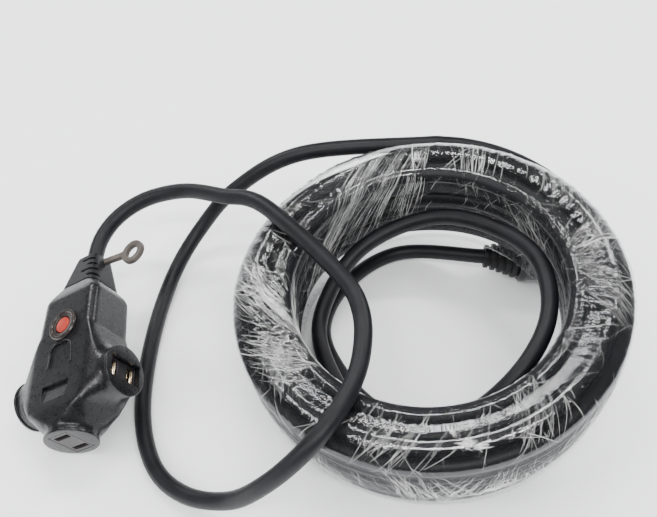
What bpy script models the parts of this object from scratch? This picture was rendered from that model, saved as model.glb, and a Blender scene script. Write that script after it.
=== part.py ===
"""Three-way outlet cord: a moulded outlet head with a thermal breaker, a long coiled lead in
stretch wrap, and a two-blade plug. Metres, +Z up. The origin is on the floor under the head."""

import math

import bmesh
import bpy
from mathutils import Matrix, Vector

MM = 0.001
GAP = 0.3 * MM                      # running gap between touching pieces

# ---------------------------------------------------------------- driving sizes
CORD_DIAMETER = 9.5 * MM
HEAD_PLACE = Vector((0.0, -28.27, 29.35)) * MM       # where the arms' axes cross
HEAD_TURN = (math.radians(4.3), math.radians(-30.8), math.radians(1.7))
ARM_REACH = 33.5 * MM               # crossing to the left and right outlet faces
LOWER_REACH = 31.0 * MM             # crossing to the lower outlet face
FACE_RADIUS = 14.2 * MM             # round outlet faces
FRONT = 16.0 * MM                   # front wall of the head, from the parting plane
BACK = -14.0 * MM
WALL = 2.4 * MM
POCKET_LONG = 20.4 * MM             # outlet pocket, front to back
POCKET_WIDE = 12.4 * MM
SLOT_PITCH = 12.7 * MM              # between the two blades of a plug
SLOT_LONG = 9.2 * MM
SLOT_WIDE = 3.3 * MM
SHOULDER_Y = 56.0 * MM              # body narrows into the boot above this
NECK_Y = 64.0 * MM
BOOT_END_Y = 87.0 * MM
BREAKER_Y = 33.0 * MM
EYELET_RADIUS = 7.6 * MM
EYELET_HOLE = 4.2 * MM

COIL_CENTRE = Vector((194.4, 15.1, 16.5)) * MM
COIL_AXIS = Vector((-0.1363, -0.0831, 0.9872))
COIL_INNER = 72.4 * MM
COIL_OUTER = 105.1 * MM
COIL_HEIGHT = 61.2 * MM
COIL_STEPS = 40
WRAP_GAP = 0.3 * MM
WRAP_THICK = 0.5 * MM

PLUG_PLACE = Vector((235.6, 81.6, 14.9)) * MM       # thin end of the plug's strain relief
PLUG_TURN = math.radians(-5.7)
PLUG_RADIUS = 14.6 * MM
PLUG_RELIEF = 22.0 * MM
PLUG_BODY = 38.0 * MM
BLADE_LONG = 17.0 * MM
BLADE_WIDE = 6.3 * MM
BLADE_THICK = 1.5 * MM

# webs that round the inner corners between the arms: (x, y, half depth) on the right-hand side
CORNER_WEBS = (
    ((20.2, 30.3, 9.6), (24.1, 20.6, 9.2), (15.1, 12.7, 11.7)),
    ((22.6, 23.3, 8.3), (29.1, 14.1, 3.1), (14.3, 9.4, 11.2)),
    ((29.1, -13.5, 3.1), (19.4, -18.1, 7.9), (12.6, -9.3, 11.4)),
    ((20.3, -16.9, 7.3), (14.1, -26.7, 3.1), (11.7, -11.3, 10.9)),
)

# route points of the two free leads, in millimetres: hand-laid, joined by a smooth curve
TAP_LEAD = [
    (-6.0, 59.1, 35.1), (-4.6, 74.2, 37.4), (2.4, 87.6, 41.2), (14.6, 96.4, 46.2), (30.4, 99.0, 52.2),
    (50.6, 94.6, 59.8), (73.4, 80.8, 68.4), (98.0, 65.2, 76.2), (138.8, 14.8, 77.8), (151.0, -11.0, 77.2),
    (150.2, -39.8, 74.8), (140.4, -64.6, 72.4), (124.2, -83.4, 65.0), (105.0, -90.6, 44.6), (84.6, -88.2, 20.4),
    (59.4, -78.8, 7.6), (40.6, -60.6, 4.95), (30.0, -26.0, 4.95), (29.0, 24.0, 5.1), (36.0, 70.5, 8.0),
    (52.2, 98.8, 21.8), (77.6, 110.6, 47.6), (120.0, 117.0, 70.4), (196.0, 123.0, 72.6),
]
PLUG_LEAD = [
    (234.2, 81.75, 14.8), (183.4, 93.2, 5.6), (148.4, 68.6, 4.95), (132.4, 32.4, 4.95), (141.6, -0.4, 5.1),
    (163.2, -28.8, 7.4), (195.4, -45.8, 19.0), (229.0, -36.6, 51.0), (251.2, -1.6, 64.2), (246.0, 42.0, 67.0),
    (203.4, 75.4, 57.0), (155.0, 67.0, 37.5), (130.4, 28.0, 18.2), (138.6, -12.6, 15.0), (157.6, -35.6, 15.6),
    (183.6, -48.6, 17.8),
]
LEAD_STEP = 27.0 * MM               # a tube point every 2.8 diameters
END_STEP = 5.0 * MM                 # an extra point that keeps the end caps square to the route


# ---------------------------------------------------------------- helpers
def clear_scene():
    for item in list(bpy.data.objects):
        bpy.data.objects.remove(item)


def make_material(name, colour, roughness, metallic=0.0):
    material = bpy.data.materials.new(name)
    material.use_nodes = True
    shader = material.node_tree.nodes["Principled BSDF"]
    shader.inputs["Base Color"].default_value = (*colour, 1.0)
    shader.inputs["Roughness"].default_value = roughness
    shader.inputs["Metallic"].default_value = metallic
    return material


def make_frame(name, place, turn, parent=None):
    frame = bpy.data.objects.new(name, None)
    frame.location = place
    frame.rotation_euler = turn
    frame.parent = parent
    bpy.context.scene.collection.objects.link(frame)
    return frame


def finish(name, shape, material, parent=None, origin=(0, 0, 0), smooth=None):
    """Turns a bmesh into a named object whose origin is the given point of its parent's frame."""
    bmesh.ops.translate(shape, verts=shape.verts, vec=-Vector(origin))
    bmesh.ops.recalc_face_normals(shape, faces=shape.faces)
    mesh = bpy.data.meshes.new(name)
    shape.to_mesh(mesh)
    shape.free()
    if smooth is not None:
        mesh.shade_smooth()
        mesh.set_sharp_from_angle(angle=math.radians(smooth))
    mesh.materials.append(material)
    made = bpy.data.objects.new(name, mesh)
    made.location = origin
    made.parent = parent
    bpy.context.scene.collection.objects.link(made)
    return made


def as_cutter(made):
    made.hide_render = True
    made.display_type = "WIRE"
    return made


def boolean(target, other, operation):
    modifier = target.modifiers.new(operation.lower(), "BOOLEAN")
    modifier.operation = operation
    modifier.solver = "EXACT"
    modifier.object = as_cutter(other)


def add_box(shape, low, high):
    """Adds a closed box between two corners."""
    low, high = Vector(low), Vector(high)
    made = bmesh.ops.create_cube(shape, size=1.0)
    bmesh.ops.scale(shape, vec=high - low, verts=made["verts"])
    bmesh.ops.translate(shape, vec=(low + high) / 2, verts=made["verts"])
    return made["verts"]


def axis_matrix(axis):
    return Vector((0, 0, 1)).rotation_difference(Vector(axis)).to_matrix().to_4x4()


def add_cylinder(shape, start, axis, radius, length, sides=20, end_radius=None):
    """Adds a closed cylinder or cone that starts at a point and runs along an axis."""
    start, axis = Vector(start), Vector(axis).normalized()
    made = bmesh.ops.create_cone(
        shape, cap_ends=True, segments=sides, depth=length,
        radius1=radius, radius2=radius if end_radius is None else end_radius,
    )
    place = Matrix.Translation(start + axis * length / 2) @ axis_matrix(axis)
    bmesh.ops.transform(shape, matrix=place, verts=made["verts"])
    return made["verts"]


def add_turned(shape, start, axis, profile, sides=20):
    """Turns a closed loop of (radius, height) points about an axis into a ring."""
    place = Matrix.Translation(Vector(start)) @ axis_matrix(axis)
    rings = []
    for step in range(sides):
        angle = 2 * math.pi * step / sides
        ring = [
            shape.verts.new(place @ Vector((radius * math.cos(angle), radius * math.sin(angle), height)))
            for radius, height in profile
        ]
        rings.append(ring)
    for step, ring in enumerate(rings):
        following = rings[(step + 1) % sides]
        for index in range(len(profile)):
            after = (index + 1) % len(profile)
            shape.faces.new((ring[index], ring[after], following[after], following[index]))


def add_hull(shape, points):
    """Adds the closed convex body around some points."""
    verts = [shape.verts.new(point) for point in points]
    result = bmesh.ops.convex_hull(shape, input=verts)
    loose = [item for item in result["geom_interior"] if isinstance(item, bmesh.types.BMVert)]
    bmesh.ops.delete(shape, geom=loose, context="VERTS")


def rounded_section(width, low, high, corner):
    """A rounded rectangle as (across, depth) points, half-width by depth range."""
    points = []
    for centre_x, centre_z, start in (
        (width - corner, high - corner, 0), (corner - width, high - corner, 90),
        (corner - width, low + corner, 180), (width - corner, low + corner, 270),
    ):
        for step in range(3):
            angle = math.radians(start + 45 * step)
            points.append((centre_x + corner * math.cos(angle), centre_z + corner * math.sin(angle)))
    return points


def circle_section(radius, sides=24):
    steps = [2 * math.pi * step / sides for step in range(sides)]
    return [(radius * math.cos(angle), radius * math.sin(angle)) for angle in steps]


def along_y(section, y):
    return [(x, y, z) for x, z in section]


def along_x(section, x):
    return [(x, y, z) for y, z in section]


def smooth_route(points, step):
    """Even points along a smooth curve through hand-laid points, ends kept."""
    knots = [Vector(point) * MM for point in points]
    knots = [2 * knots[0] - knots[1]] + knots + [2 * knots[-1] - knots[-2]]
    fine = []
    for index in range(1, len(knots) - 2):
        before, start, end, after = knots[index - 1:index + 3]
        for part in range(12):
            t = part / 12
            fine.append(0.5 * (
                2 * start + (end - before) * t
                + (2 * before - 5 * start + 4 * end - after) * t * t
                + (3 * start - before - 3 * end + after) * t * t * t
            ))
    fine.append(knots[-2])
    lengths = [0.0]
    for first, second in zip(fine, fine[1:]):
        lengths.append(lengths[-1] + (second - first).length)
    count = round(lengths[-1] / step)
    stations = [lengths[-1] * number / count for number in range(count + 1)]
    stations.insert(1, END_STEP)
    stations.insert(-1, lengths[-1] - END_STEP)
    route, index = [], 0
    for wanted in stations:
        while index < len(fine) - 2 and lengths[index + 1] < wanted:
            index += 1
        span = lengths[index + 1] - lengths[index]
        route.append(fine[index].lerp(fine[index + 1], (wanted - lengths[index]) / span))
    return route


def make_lead(name, points, material):
    curve = bpy.data.curves.new(name, "CURVE")
    curve.dimensions = "3D"
    curve.bevel_depth = CORD_DIAMETER / 2
    curve.bevel_resolution = 2
    curve.use_fill_caps = True
    route = smooth_route(points, LEAD_STEP)
    spline = curve.splines.new("POLY")
    spline.points.add(len(route) - 1)
    for point, place in zip(spline.points, route):
        point.co = (*place, 1.0)
    curve.materials.append(material)
    made = bpy.data.objects.new(name, curve)
    bpy.context.scene.collection.objects.link(made)
    return made


# ---------------------------------------------------------------- outlet head: shells
def head_outline():
    """The head's outer form: shoulders, three flared arms and a middle block, as one body."""
    body = bmesh.new()
    upper = (
        along_y(rounded_section(19.5 * MM, BACK + 1 * MM, FRONT - 0.8 * MM, 4 * MM), SHOULDER_Y)
        + along_y(rounded_section(20.0 * MM, BACK, FRONT, 4 * MM), 38 * MM)
        + along_y(rounded_section(21.0 * MM, BACK, FRONT, 4 * MM), 12 * MM)
    )
    add_hull(body, upper)
    made = finish("head_form", body, MATERIALS["jacket"], HEAD)
    neck = bmesh.new()
    add_hull(
        neck,
        along_y(rounded_section(19.4 * MM, BACK + 1 * MM, FRONT - 0.9 * MM, 4 * MM), SHOULDER_Y - 1 * MM)
        + along_y(rounded_section(12.8 * MM, -11.6 * MM, 12.4 * MM, 4 * MM), NECK_Y),
    )
    boolean(made, finish("neck_form", neck, MATERIALS["jacket"], HEAD), "UNION")
    for side in (-1, 1):
        arm = bmesh.new()
        add_hull(
            arm,
            along_x(circle_section(FACE_RADIUS), side * ARM_REACH)
            + along_x(circle_section(FACE_RADIUS - 0.6 * MM), side * (ARM_REACH - 6 * MM)),
        )
        boolean(made, finish(f"arm_rim_{side}", arm, MATERIALS["jacket"], HEAD), "UNION")
        root = bmesh.new()
        add_hull(
            root,
            along_x(circle_section(FACE_RADIUS - 0.7 * MM), side * (ARM_REACH - 5 * MM))
            + along_x(rounded_section(18.5 * MM, BACK + 0.1 * MM, FRONT - 0.3 * MM, 5 * MM), side * 15 * MM),
        )
        boolean(made, finish(f"arm_root_{side}", root, MATERIALS["jacket"], HEAD), "UNION")
    lower = bmesh.new()
    add_hull(
        lower,
        along_y(circle_section(FACE_RADIUS), -LOWER_REACH)
        + along_y(circle_section(FACE_RADIUS - 0.6 * MM), -LOWER_REACH + 5 * MM),
    )
    boolean(made, finish("lower_rim", lower, MATERIALS["jacket"], HEAD), "UNION")
    lower_root = bmesh.new()
    add_hull(
        lower_root,
        along_y(circle_section(FACE_RADIUS - 0.7 * MM), -LOWER_REACH + 4 * MM)
        + along_y(rounded_section(20.5 * MM, BACK + 0.2 * MM, FRONT - 0.2 * MM, 5 * MM), -5 * MM)
        + along_y(rounded_section(20.8 * MM, BACK + 0.05 * MM, FRONT - 0.1 * MM, 4 * MM), 12.5 * MM),
    )
    boolean(made, finish("lower_form", lower_root, MATERIALS["jacket"], HEAD), "UNION")
    for side in (-1, 1):
        for number, corners in enumerate(CORNER_WEBS):
            web = bmesh.new()
            add_hull(web, [
                (side * x * MM, y * MM, z * MM)
                for x, y, depth in corners for z in (-depth, depth)
            ])
            boolean(made, finish(f"web_{side}_{number}", web, MATERIALS["jacket"], HEAD), "UNION")
    return made


def head_hollow(name):
    """Everything taken out of the head: pockets, breaker room, cord entry, screw holes, relief cuts."""
    pocket_z = POCKET_LONG / 2
    pocket_half = POCKET_WIDE / 2
    hollow = bmesh.new()
    add_box(hollow, (-40 * MM, -pocket_half, -pocket_z), (40 * MM, pocket_half, pocket_z))
    made = finish(name, hollow, MATERIALS["jacket"], HEAD)
    cuts = [
        ("down", (-pocket_half, -40 * MM, -pocket_z), (pocket_half, 22 * MM, pocket_z)),
        ("room", (-10.5 * MM, 18 * MM, -10.4 * MM), (10.5 * MM, 53 * MM, FRONT - WALL)),
    ]
    for label, low, high in cuts:
        part = bmesh.new()
        add_box(part, low, high)
        boolean(made, finish(f"{name}_{label}", part, MATERIALS["jacket"], HEAD), "UNION")
    rounds = [
        ("entry", (0, 50 * MM, 0), (0, 1, 0), CORD_DIAMETER / 2 + GAP, 20 * MM),
        ("bezel", (0, BREAKER_Y, 8 * MM), (0, 0, 1), 7.2 * MM, 12 * MM),
    ]
    for label, start, axis, radius, length in rounds:
        part = bmesh.new()
        add_cylinder(part, start, axis, radius, length)
        boolean(made, finish(f"{name}_{label}", part, MATERIALS["jacket"], HEAD), "UNION")
    return made


def screw_places():
    return [(15.0 * MM, 46 * MM), (-15.0 * MM, 46 * MM), (13.5 * MM, -12.5 * MM), (-13.5 * MM, -12.5 * MM)]


def make_shells():
    for name, low_z, high_z in (("front_shell", GAP / 2, 30 * MM), ("rear_shell", -30 * MM, -GAP / 2)):
        form = head_outline()
        form.name = name
        form.data.name = name
        boolean(form, head_hollow(f"{name}_hollow"), "DIFFERENCE")
        half = bmesh.new()
        add_box(half, (-60 * MM, -60 * MM, low_z), (60 * MM, 120 * MM, high_z))
        boolean(form, finish(f"{name}_half", half, MATERIALS["jacket"], HEAD), "INTERSECT")
        if name == "front_shell":
            panel = bmesh.new()
            add_hull(panel, [
                (x, y, z) for z in (FRONT - 0.7 * MM, FRONT + 3 * MM)
                for x, y in (
                    (-8.8 * MM, 7.6 * MM), (8.8 * MM, 7.6 * MM), (6.4 * MM, 21.6 * MM),
                    (3.6 * MM, 23.4 * MM), (-3.6 * MM, 23.4 * MM), (-6.4 * MM, 21.6 * MM),
                )
            ])
            boolean(form, finish("panel_cut", panel, MATERIALS["jacket"], HEAD), "DIFFERENCE")
            scoop = bmesh.new()
            add_hull(scoop, [
                (-9.8 * MM, -3.2 * MM, FRONT + 3 * MM), (9.8 * MM, -3.2 * MM, FRONT + 3 * MM),
                (-9.2 * MM, -3.2 * MM, FRONT - 1.4 * MM), (9.2 * MM, -3.2 * MM, FRONT - 1.4 * MM),
                (-8.4 * MM, -12.4 * MM, FRONT + 3 * MM), (8.4 * MM, -12.4 * MM, FRONT + 3 * MM),
                (-7.6 * MM, -12.4 * MM, FRONT - 0.2 * MM), (7.6 * MM, -12.4 * MM, FRONT - 0.2 * MM),
            ])
            boolean(form, finish("scoop_cut", scoop, MATERIALS["jacket"], HEAD), "DIFFERENCE")
        holes = bmesh.new()
        for x, y in screw_places():
            if name == "front_shell":
                add_cylinder(holes, (x, y, -2 * MM), (0, 0, 1), 1.5 * MM + GAP, 10.5 * MM, 10)
            else:
                add_cylinder(holes, (x, y, -10.5 * MM), (0, 0, 1), 1.5 * MM + GAP, 14 * MM, 10)
        boolean(form, finish(f"{name}_holes", holes, MATERIALS["jacket"], HEAD), "DIFFERENCE")
        if name == "rear_shell":
            sinks = bmesh.new()
            for x, y in screw_places():
                add_cylinder(sinks, (x, y, -20 * MM), (0, 0, 1), 3.3 * MM, 9.8 * MM, 12)
            boolean(form, finish("screw_sinks", sinks, MATERIALS["jacket"], HEAD), "DIFFERENCE")


def make_screws():
    for number, (x, y) in enumerate(screw_places(), 1):
        shank = bmesh.new()
        add_cylinder(shank, (x, y, -11.5 * MM), (0, 0, 1), 1.5 * MM, 18.5 * MM, 10)
        made = finish(f"shell_screw_{number}", shank, MATERIALS["steel"], HEAD)
        head = bmesh.new()
        add_cylinder(head, (x, y, -12.6 * MM), (0, 0, 1), 3.0 * MM, 2.1 * MM, 12)
        boolean(made, finish(f"screw_head_{number}", head, MATERIALS["steel"], HEAD), "UNION")


# ---------------------------------------------------------------- outlet head: outlets
def outlet_frame(name, outward, reach):
    """A frame on an outlet face: local +X out of the face, +Z towards the front, +Y across."""
    turn = {"left": math.pi, "right": 0.0, "lower": -math.pi / 2}[outward]
    place = {"left": (-reach, 0, 0), "right": (reach, 0, 0), "lower": (0, -reach, 0)}[outward]
    return make_frame(name, place, (0, 0, turn), HEAD)


def make_cover_plate(outward, frame):
    """Flush plate with two blade slots."""
    depth = 2.4 * MM
    half_y = POCKET_WIDE / 2 - GAP
    half_z = POCKET_LONG / 2 - GAP
    plate = bmesh.new()
    add_box(plate, (-depth, -half_y, -half_z), (0, half_y, half_z))
    made = finish(f"{outward}_cover_plate", plate, MATERIALS["plate"], frame)
    slots = bmesh.new()
    for side in (-1, 1):
        middle = side * SLOT_PITCH / 2
        add_box(
            slots,
            (-depth - MM, -SLOT_LONG / 2, middle - SLOT_WIDE / 2),
            (MM, SLOT_LONG / 2, middle + SLOT_WIDE / 2),
        )
    boolean(made, finish(f"{outward}_slots", slots, MATERIALS["plate"], frame), "DIFFERENCE")


def make_carrier(outward, frame):
    """Insulating block behind a face, with a window over each contact clip."""
    half_y = POCKET_WIDE / 2 - GAP
    half_z = POCKET_LONG / 2 - GAP
    carrier = bmesh.new()
    add_box(carrier, (-15.0 * MM, -half_y, -half_z), (-2.8 * MM, half_y, half_z))
    made = finish(f"{outward}_contact_carrier", carrier, MATERIALS["insert"], frame)
    windows = bmesh.new()
    for side in (-1, 1):
        middle = side * SLOT_PITCH / 2
        add_box(
            windows,
            (-20 * MM, -4.9 * MM, middle - 2.9 * MM),
            (0, 4.9 * MM, middle + 2.9 * MM),
        )
    boolean(made, finish(f"{outward}_windows", windows, MATERIALS["insert"], frame), "DIFFERENCE")


def make_clips(outward, frame):
    """U-shaped spring clips that grip the blades of a plug."""
    for label, side in (("live", 1), ("neutral", -1)):
        middle = side * SLOT_PITCH / 2
        outline = [(-13.6, 2.3), (-4.0, 1.3), (-3.2, 2.3)]
        half_y = 4.3 * MM
        thick = 0.6 * MM
        clip = bmesh.new()
        outer = [(x * MM, z * MM) for x, z in outline]
        inner = [(x * MM, z * MM - thick) for x, z in outline]
        inner[0] = (inner[0][0] + thick, inner[0][1])
        loop = [(x, z) for x, z in reversed(outer)] + [(x, -z) for x, z in outer]
        loop += [(x, -z) for x, z in reversed(inner)] + [(x, z) for x, z in inner]
        rows = [[clip.verts.new((x, y, middle + z)) for x, z in loop] for y in (-half_y, half_y)]
        clip.faces.new(rows[0])
        clip.faces.new(list(reversed(rows[1])))
        for index in range(len(loop)):
            after = (index + 1) % len(loop)
            clip.faces.new((rows[0][index], rows[0][after], rows[1][after], rows[1][index]))
        finish(f"{outward}_{label}_clip", clip, MATERIALS["brass"], frame)


def make_bus_bars():
    """One brass bar for each pole, joining the clips of the three outlets."""
    for label, side in (("live", 1), ("neutral", -1)):
        middle = side * SLOT_PITCH / 2
        thick = 0.5 * MM
        across = ARM_REACH - 14.0 * MM - GAP
        bar = bmesh.new()
        add_box(bar, (-across, -3.5 * MM, middle - thick), (across, 3.5 * MM, middle + thick))
        made = finish(f"{label}_bus_bar", bar, MATERIALS["brass"], HEAD)
        leg = bmesh.new()
        add_box(
            leg,
            (-3.5 * MM, -LOWER_REACH + 14.0 * MM + GAP, middle - thick),
            (3.5 * MM, 12.0 * MM, middle + thick),
        )
        boolean(made, finish(f"{label}_bus_leg", leg, MATERIALS["brass"], HEAD), "UNION")


# ---------------------------------------------------------------- outlet head: breaker
def make_breaker():
    y = BREAKER_Y
    room = FRONT - WALL - GAP
    case = bmesh.new()
    add_box(case, (-7.4 * MM, y - 11 * MM, -6.5 * MM), (7.4 * MM, y + 11 * MM, room))
    made = finish("breaker_case", case, MATERIALS["insert"], HEAD)
    neck = bmesh.new()
    add_cylinder(neck, (0, y, room - 2 * MM), (0, 0, 1), 6.8 * MM, 5.0 * MM)
    boolean(made, finish("breaker_neck", neck, MATERIALS["insert"], HEAD), "UNION")
    bore = bmesh.new()
    add_cylinder(bore, (0, y, 5.0 * MM), (0, 0, 1), 5.2 * MM, 20 * MM)
    boolean(made, finish("breaker_bore", bore, MATERIALS["insert"], HEAD), "DIFFERENCE")
    guide = bmesh.new()
    add_cylinder(guide, (0, y, 2.0 * MM), (0, 0, 1), 2.2 * MM, 10 * MM, 16)
    boolean(made, finish("plunger_guide", guide, MATERIALS["insert"], HEAD), "DIFFERENCE")
    inside = bmesh.new()
    add_box(inside, (-6.0 * MM, y - 9.6 * MM, -8 * MM), (6.0 * MM, y + 9.6 * MM, 4.0 * MM))
    boolean(made, finish("breaker_inside", inside, MATERIALS["insert"], HEAD), "DIFFERENCE")
    bezel = bmesh.new()
    add_turned(
        bezel, (0, y, FRONT + GAP), (0, 0, 1),
        [(9.6 * MM, 0), (9.2 * MM, 1.2 * MM), (8.4 * MM, 1.7 * MM), (7.6 * MM, 1.2 * MM), (7.1 * MM, 0)], 28,
    )
    finish("bezel_ring", bezel, MATERIALS["bezel"], HEAD, smooth=30)
    button = bmesh.new()
    add_cylinder(button, (0, y, 6.4 * MM), (0, 0, 1), 4.7 * MM, 10.6 * MM, 24, 4.6 * MM)
    made = finish("reset_button", button, MATERIALS["button"], HEAD, origin=(0, y, 6.4 * MM), smooth=30)
    bore = bmesh.new()
    add_cylinder(bore, (0, 0, -1 * MM), (0, 0, 1), 3.6 * MM, 6.0 * MM, 16)
    bore_made = finish("button_bore", bore, MATERIALS["button"], made)
    boolean(made, bore_made, "DIFFERENCE")
    spring = bmesh.new()
    add_spring(spring, (0, y, 5.75 * MM), 2.9 * MM, 0.35 * MM, 5.0 * MM, 3.5)
    finish("reset_spring", spring, MATERIALS["steel"], HEAD)
    rod = bmesh.new()
    add_cylinder(rod, (0, y, 2.6 * MM), (0, 0, 1), 1.6 * MM, 8.2 * MM, 12)
    finish("trip_plunger", rod, MATERIALS["insert"], HEAD, origin=(0, y, 2.6 * MM), smooth=30)
    arm = bmesh.new()
    add_box(arm, (-2.4 * MM, y - 8.4 * MM, 0.9 * MM), (2.4 * MM, y + 6.0 * MM, 1.5 * MM))
    finish("contact_arm", arm, MATERIALS["brass"], HEAD, origin=(0, y - 8.4 * MM, 1.2 * MM))
    blade = bmesh.new()
    add_box(blade, (-2.6 * MM, y - 8.4 * MM, -2.0 * MM), (2.6 * MM, y + 7.6 * MM, -1.4 * MM))
    finish("bimetal_strip", blade, MATERIALS["steel"], HEAD)
    for label, step in (("line", 1), ("load", -1)):
        tab = bmesh.new()
        near = y + step * 11.4 * MM
        low_y, high_y = sorted((near, near + step * 5.0 * MM))
        add_box(tab, (-3.0 * MM, low_y, -4.6 * MM), (3.0 * MM, high_y, -3.8 * MM))
        finish(f"breaker_{label}_tab", tab, MATERIALS["brass"], HEAD)


def add_spring(shape, start, radius, wire, height, turns):
    """A closed helical spring of square wire."""
    steps = round(turns * 12)
    rows = []
    for step in range(steps + 1):
        angle = 2 * math.pi * turns * step / steps
        rise = height * step / steps
        corners = [(-wire, -wire), (wire, -wire), (wire, wire), (-wire, wire)]
        rows.append([
            shape.verts.new((
                start[0] + (radius + out) * math.cos(angle),
                start[1] + (radius + out) * math.sin(angle),
                start[2] + rise + up,
            ))
            for out, up in corners
        ])
    for first, second in zip(rows, rows[1:]):
        for index in range(4):
            after = (index + 1) % 4
            shape.faces.new((first[index], first[after], second[after], second[index]))
    shape.faces.new(list(reversed(rows[0])))
    shape.faces.new(rows[-1])


# ---------------------------------------------------------------- outlet head: cord end
def make_cord_end():
    """The end of the cord inside the head, and its two insulated cores."""
    inside = bmesh.new()
    add_cylinder(inside, (0, 50.6 * MM, 0), (0, 1, 0), CORD_DIAMETER / 2, BOOT_END_Y - GAP - 50.6 * MM, 16)
    finish("cord_end", inside, MATERIALS["cord"], HEAD, smooth=30)
    grip = bmesh.new()
    add_box(grip, (-8.0 * MM, 49.6 * MM, -1.2 * MM), (8.0 * MM, 50.2 * MM, 6.0 * MM))
    finish("cord_stop", grip, MATERIALS["insert"], HEAD)
    runs = {
        "live_core": ((2.0 * MM, 44.8 * MM, -6.6 * MM), 4.5 * MM, "live_core"),
        "neutral_core": ((-2.0 * MM, 12.6 * MM, -8.4 * MM), 36.7 * MM, "neutral_core"),
        "link_wire": ((0, 12.6 * MM, 7.6 * MM), 8.8 * MM, "live_core"),
    }
    for name, (start, length, colour) in runs.items():
        core = bmesh.new()
        add_cylinder(core, start, (0, 1, 0), 1.5 * MM, length, 10)
        finish(name, core, MATERIALS[colour], HEAD, smooth=30)


def make_boot():
    """Ribbed, square-sided strain relief that grows out of the head."""
    boot = bmesh.new()
    add_hull(
        boot,
        along_y(rounded_section(12.4 * MM, -11.2 * MM, 12.0 * MM, 3.6 * MM), NECK_Y + GAP)
        + along_y(rounded_section(7.6 * MM, -7.6 * MM, 7.6 * MM, 3.0 * MM), BOOT_END_Y),
    )
    made = finish("strain_boot", boot, MATERIALS["jacket"], HEAD)
    bore = bmesh.new()
    add_cylinder(bore, (0, NECK_Y - 5 * MM, 0), (0, 1, 0), CORD_DIAMETER / 2 + GAP, 40 * MM, 16)
    boolean(made, finish("boot_bore", bore, MATERIALS["jacket"], HEAD), "DIFFERENCE")
    grooves = bmesh.new()
    for number in range(4):
        y = NECK_Y + (3.4 + 4.8 * number) * MM
        half = (12.0 - 1.05 * number) * MM
        for side in (-1, 1):
            skew = 2.2 * MM if (number % 2 == 0) == (side > 0) else -2.2 * MM
            low_x, high_x = sorted((side * (half - 7.6 * MM) + skew, side * 20 * MM))
            low_z, high_z = sorted((side * 5.6 * MM, side * 20 * MM))
            add_box(grooves, (low_x, y, low_z), (high_x, y + 1.3 * MM, high_z))
    boolean(made, finish("boot_grooves", grooves, MATERIALS["jacket"], HEAD), "DIFFERENCE")


def make_eyelet():
    """Flat hanging eye on a short strap, in the parting plane."""
    half = 1.5 * MM
    strap = bmesh.new()
    add_hull(strap, [
        (x, y, z) for z in (-half, half)
        for x, y in (
            (9.1 * MM, 81.6 * MM), (8.4 * MM, 84.9 * MM),
            (25.0 * MM, 83.2 * MM), (25.0 * MM, 79.4 * MM),
        )
    ])
    made = finish("hang_eyelet", strap, MATERIALS["eyelet"], HEAD)
    ring = bmesh.new()
    add_cylinder(ring, (30.8 * MM, 80.6 * MM, -half), (0, 0, 1), EYELET_RADIUS, 2 * half, 28)
    boolean(made, finish("eyelet_ring", ring, MATERIALS["eyelet"], HEAD), "UNION")
    hole = bmesh.new()
    add_cylinder(hole, (30.8 * MM, 80.6 * MM, -5 * MM), (0, 0, 1), EYELET_HOLE, 10 * MM, 20)
    boolean(made, finish("eyelet_hole", hole, MATERIALS["eyelet"], HEAD), "DIFFERENCE")


# ---------------------------------------------------------------- coil and wrap
def coil_profile(grow=0.0):
    """Cross-section of the coil as (radius, height) points, domed at the top, grown outwards."""
    corner_sizes = ((COIL_OUTER, 0.0, 7.0), (COIL_OUTER, COIL_HEIGHT, 12.0),
                    (COIL_INNER, COIL_HEIGHT, 8.0), (COIL_INNER, 0.0, 5.0))
    points = []
    for number, (radius, height, corner) in enumerate(corner_sizes):
        corner *= MM
        centre_r = radius - corner if radius == COIL_OUTER else radius + corner
        centre_h = height + corner if height == 0.0 else height - corner
        for step in range(3):
            angle = math.radians(-90 + 90 * number + 45 * step)
            points.append((
                centre_r + (corner + grow) * math.cos(angle),
                centre_h + (corner + grow) * math.sin(angle),
            ))
    return points


def make_coil():
    coil = bmesh.new()
    add_turned(coil, (0, 0, 0), (0, 0, 1), coil_profile(), COIL_STEPS)
    finish("cord_coil", coil, MATERIALS["cord"], COIL, smooth=50)
    outer = coil_profile(WRAP_GAP + WRAP_THICK)
    inner = coil_profile(WRAP_GAP)
    wrap = bmesh.new()
    loop = outer + list(reversed(inner))
    add_turned(wrap, (0, 0, 0), (0, 0, 1), loop, COIL_STEPS)
    finish("stretch_wrap", wrap, MATERIALS["wrap"], COIL, smooth=50)


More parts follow.
